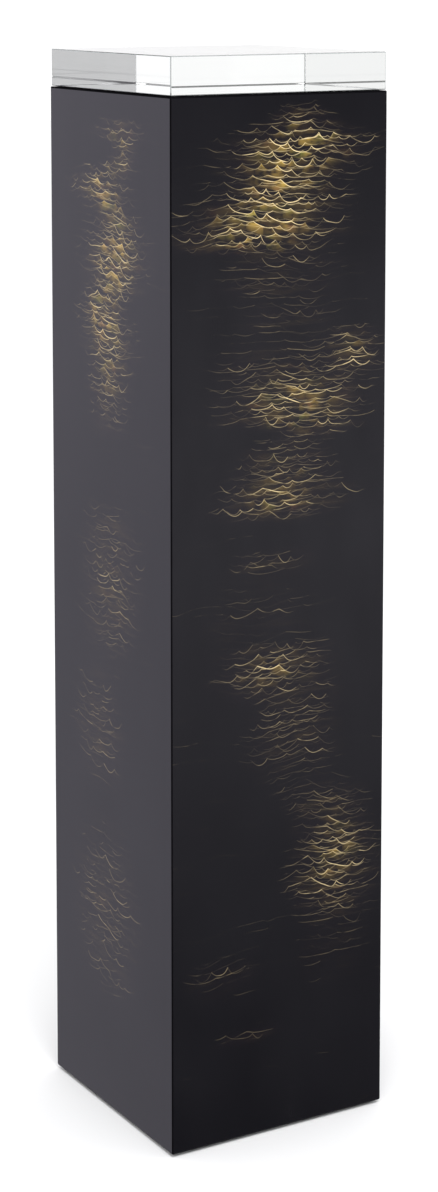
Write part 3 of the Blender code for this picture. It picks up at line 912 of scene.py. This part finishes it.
def make_tee_nuts(material):
    """Tee nuts: a flange, a barrel with an M8 bore and four prongs pressed into the board."""
    bore, barrel = 0.0042, 0.0052
    flange = 0.0015
    prong_length = 0.0070
    for corner in CORNERS:
        node = f"tee_nut_{corner}"
        low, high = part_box(node)
        flange_radius = 0.5 * (high[0] - low[0])
        flange_low = high[2] - flange
        profile = [(bore + 0.0002, low[2]), (barrel - 0.0002, low[2]), (barrel, low[2] + 0.0003)]
        profile += [(barrel, flange_low - 0.0004), (barrel + 0.0004, flange_low)]
        profile += [(flange_radius - 0.0003, flange_low), (flange_radius, flange_low + 0.0003)]
        profile += [(flange_radius, high[2] - 0.0003), (flange_radius - 0.0003, high[2])]
        profile += [(bore + 0.0006, high[2]), (bore, high[2] - 0.0006), (bore, low[2] + 0.0002)]
        centre = (*middle_of(node)[:2], 0.0)
        nut = bmesh.new()
        ring_turned(nut, centre, profile, 64)
        for quarter in range(4):
            angle = math.pi / 4.0 + quarter * math.pi / 2.0
            prong(nut, centre, angle, flange_radius - 0.0012, flange_low, prong_length)
        add_piece(f"pronged_nut_{corner}", nut, material, node, "carcass")


def prong(mesh_data, centre, angle, reach, top, length):
    """A pointed tooth that stands down from the flange."""
    outward = Vector((math.cos(angle), math.sin(angle), 0.0))
    sideways = Vector((-math.sin(angle), math.cos(angle), 0.0))
    root = Vector(centre) + outward * reach + Vector((0.0, 0.0, top + 0.0002))
    half_width, half_thickness = 0.0018, 0.0006
    points = []
    for drop, width in ((0.0, 1.0), (0.45, 0.85), (1.0, 0.12)):
        for side, depth in ((-1, -1), (1, -1), (1, 1), (-1, 1)):
            place = root + sideways * (side * half_width * width)
            place += outward * (depth * half_thickness * (0.4 + 0.6 * width))
            place.z -= drop * length
            points.append(mesh_data.verts.new(place))
    for level in range(2):
        for side in range(4):
            first = level * 4 + side
            second = level * 4 + (side + 1) % 4
            mesh_data.faces.new((points[first], points[second], points[second + 4],
                                 points[first + 4]))
    mesh_data.faces.new(points[0:4])
    mesh_data.faces.new(points[8:12])


def cross_drive(depth_part):
    """The reach of a screw's cross-shaped recess, which narrows with depth."""
    arm = 0.00042

    def reach(angle):
        within = (angle + math.pi / 4.0) % (math.pi / 2.0) - math.pi / 4.0
        along = min(0.0021, arm / max(abs(math.sin(within)), 0.05))
        return along * (1.0 - 0.45 * depth_part)

    return reach


def make_screws(material):
    """Wood screws: a countersunk head with a cross drive and a coarse thread."""
    pitch = 0.0022
    shank = 0.0019
    thread_start = 0.016
    for corner in CORNERS:
        node = f"base_screw_{corner}"
        low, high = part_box(node)
        head = 0.5 * (high[0] - low[0])
        rows = [(0.0012, cross_drive(1.0)), (0.0002, cross_drive(0.1)), (0.0, cross_drive(0.0))]
        rows += [(0.0, head - 0.0002), (0.0002, head), (0.0024, shank + 0.0003)]
        rows += [(0.0030, shank)]
        rows += thread_rows(thread_start, high[2] - low[2] - 0.006, shank, 0.00055, pitch, 0.003)
        rows += [(high[2] - low[2] - 0.003, 0.0010), (high[2] - low[2], 0.0002)]
        screw = bmesh.new()
        sleeve(screw, middle_of(node), rows, 40)
        add_piece(f"cut_screw_{corner}", screw, material, node, "carcass")


def make_dowels():
    """Fluted beech dowels with chamfered ends."""
    material = long_grained("beech", [
        (0.15, (0.42, 0.25, 0.13)),
        (0.55, (0.55, 0.35, 0.20)),
        (0.90, (0.62, 0.42, 0.25)),
    ], 60.0, 0.6)
    flutes = 16
    flute_depth = 0.00032
    chamfer = 0.0010
    for corner in CORNERS:
        node = f"deck_dowel_{corner}"
        low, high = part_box(node)
        radius = 0.5 * (high[0] - low[0])
        length = high[2] - low[2]

        def fluted(angle, radius=radius):
            return radius - flute_depth * (0.5 - 0.5 * math.cos(angle * flutes)) ** 2.0

        rows = [(0.0, radius - chamfer), (chamfer, radius - 0.0002)]
        rows += [(0.0014 + (length - 0.0028) * step / 6.0, fluted) for step in range(7)]
        rows += [(length - chamfer, radius - 0.0002), (length, radius - chamfer)]
        dowel = bmesh.new()
        sleeve(dowel, middle_of(node), rows, flutes * 8)
        add_piece(f"fluted_dowel_{corner}", dowel, material, node, "carcass")


def dress_boards(board):
    """Raw board on the base and the braces, and pine on the corner battens."""
    for node in ("base", "lower_brace", "upper_brace"):
        paint(node, board)
    pine = long_grained("pine", [
        (0.10, (0.66, 0.47, 0.26)),
        (0.60, (0.60, 0.40, 0.20)),
        (0.92, (0.43, 0.24, 0.10)),
    ], 30.0, 0.65)
    for corner in CORNERS:
        paint(f"corner_batten_{corner}", pine)


def make_pieces():
    board = fibreboard()
    make_panels(board)
    make_block()
    make_bumpers()
    zinc = zinc_plated()
    make_stems(zinc)
    make_pads()
    make_tee_nuts(zinc)
    make_screws(zinc)
    make_dowels()
    dress_boards(board)


# ---------------------------------------------------------------------------------------------
# Stage: floor, light and camera.
# ---------------------------------------------------------------------------------------------

CAMERA_AZIMUTH = math.radians(30.8)
CAMERA_PITCH = math.radians(6.333)
CAMERA_PLACE = (-1.3478, -2.2668, 1.1858)
CAMERA_LENS = 78.27
CAMERA_SHIFT = -0.2915
SENSOR = 36.0

# Brightness of the light on matt surfaces and of what gloss reflects.
AMBIENT_LIGHT = 1.12
WALL_FOOT = 0.61
WALL_MIDDLE = 0.07  # added to the foot
WALL_TOP = 0.19  # added to the middle
ROOM = 0.92
BAND = 1.1
FLOOR = 0.5
CEILING_DIMMED_BY = 0.88

BLOCK_WHITE = 1.05  # the white that the clear block shows, where nothing dims it
DIM_AZIMUTH = -math.radians(60.0)  # the middle of the dim room that the block shows
KEY_PLACE = (-1.0, -2.6, 4.6)
KEY_TARGET = (0.0, 0.0, 0.4)
KEY_SIZE = 2.4
KEY_POWER = 125.0


def make_camera():
    data = bpy.data.cameras.new("camera")
    data.sensor_width = SENSOR
    data.lens = CAMERA_LENS
    data.shift_y = CAMERA_SHIFT
    data.clip_start = 0.01
    data.clip_end = 100.0
    camera = bpy.data.objects.new("camera", data)
    bpy.context.scene.collection.objects.link(camera)
    camera.location = CAMERA_PLACE
    camera.rotation_euler = (math.pi / 2 - CAMERA_PITCH, 0.0, -CAMERA_AZIMUTH)
    bpy.context.scene.camera = camera


def make_floor():
    half = 15.0
    mesh = bpy.data.meshes.new("floor")
    corners = [(-half, -half, 0), (half, -half, 0), (half, half, 0), (-half, half, 0)]
    mesh.from_pydata(corners, [], [(0, 1, 2, 3)])
    floor = bpy.data.objects.new("floor", mesh)
    bpy.context.scene.collection.objects.link(floor)
    material, _, shader = new_material("studio_floor", roughness=0.9, specular=0.0)
    shader.inputs["Base Color"].default_value = (0.90, 0.90, 0.91, 1.0)
    mesh.materials.append(material)
    floor.visible_glossy = False


def make_world():
    """Even white light, and surroundings that only gloss and the clear pieces show."""
    world = bpy.data.worlds.new("studio")
    world.use_nodes = True
    bpy.context.scene.world = world
    world.cycles.sampling_method = "NONE"
    tree = world.node_tree
    background = tree.nodes["Background"]
    coordinates = tree.nodes.new("ShaderNodeTexCoord")
    split = tree.nodes.new("ShaderNodeSeparateXYZ")
    tree.links.new(coordinates.outputs["Generated"], split.inputs[0])
    x, y, z = [Field(tree, split.outputs[axis]) for axis in range(3)]
    slope = z / (x * x + y * y).root().most(0.001)  # height over distance
    towards = x * -math.sin(CAMERA_AZIMUTH) + y * math.cos(CAMERA_AZIMUTH)

    # What gloss reflects: a pale wall behind on the left, which the left face shows, a dim room in
    # front on the right, which the front face shows, and grey between the two. A bright band lies
    # just above eye level, except in front. The ceiling is dark, and the floor below is pale.
    wall = slope.step(-0.44, -0.34) * WALL_MIDDLE + slope.step(-0.24, -0.12) * WALL_TOP + WALL_FOOT
    room = slope.step(-0.05, -0.16) * slope.step(-0.47, -0.16) * ROOM
    wall_side = towards.step(0.40, 0.95)
    room_side = towards.step(-0.60, -0.92)
    horizon = slope.step(-0.02, 0.03) * slope.step(0.30, 0.12) * towards.step(-0.6, 0.3)
    ceiling = slope.step(0.12, 0.50)
    ground = slope.step(-0.8, -1.6)
    elsewhere = (1.0 - wall_side - room_side) * (slope.step(-0.70, -0.10) * 0.22 + 0.24)
    around = wall * wall_side + room * room_side + elsewhere
    around = around * (1.0 - ceiling * CEILING_DIMMED_BY)
    reflected = around.most(horizon * BAND) + ground * FLOOR

    # What the clear block shows: white all round, darker to the room, the wall and the ceiling.
    into_room = (x * math.cos(DIM_AZIMUTH) + y * math.sin(DIM_AZIMUTH)).step(0.72, 0.92)
    behind = towards.step(0.55, 0.85)
    seen_through = BLOCK_WHITE - into_room * 0.54 - behind * 0.10 - z.step(0.25, 0.7) * 0.55

    path = tree.nodes.new("ShaderNodeLightPath")
    through = Field(tree, path.outputs["Is Transmission Ray"])
    glossy = Field(tree, path.outputs["Is Glossy Ray"]) * (1.0 - through)
    plain = (1.0 - glossy) * (1.0 - through)
    light = reflected * glossy + seen_through * through + plain * AMBIENT_LIGHT
    put(tree, light, background.inputs["Strength"])

    # The wall's reflection is a touch violet.
    cool = wall_side * glossy
    tint = tree.nodes.new("ShaderNodeCombineColor")
    for channel, change in enumerate((-0.03, -0.06, 0.05)):
        put(tree, cool * change + 1.0, tint.inputs[channel])
    tree.links.new(tint.outputs[0], background.inputs["Color"])


def make_lights():
    """One large soft lamp, high up in front."""
    data = bpy.data.lights.new("key", "AREA")
    data.shape = "SQUARE"
    data.size = KEY_SIZE
    data.energy = KEY_POWER
    lamp = bpy.data.objects.new("key", data)
    bpy.context.scene.collection.objects.link(lamp)
    lamp.location = KEY_PLACE
    direction = Vector(KEY_TARGET) - Vector(KEY_PLACE)
    lamp.rotation_euler = direction.to_track_quat("-Z", "Y").to_euler()


make_pieces()
make_camera()
make_floor()
make_world()
make_lights()
bpy.context.scene.view_settings.view_transform = "Standard"
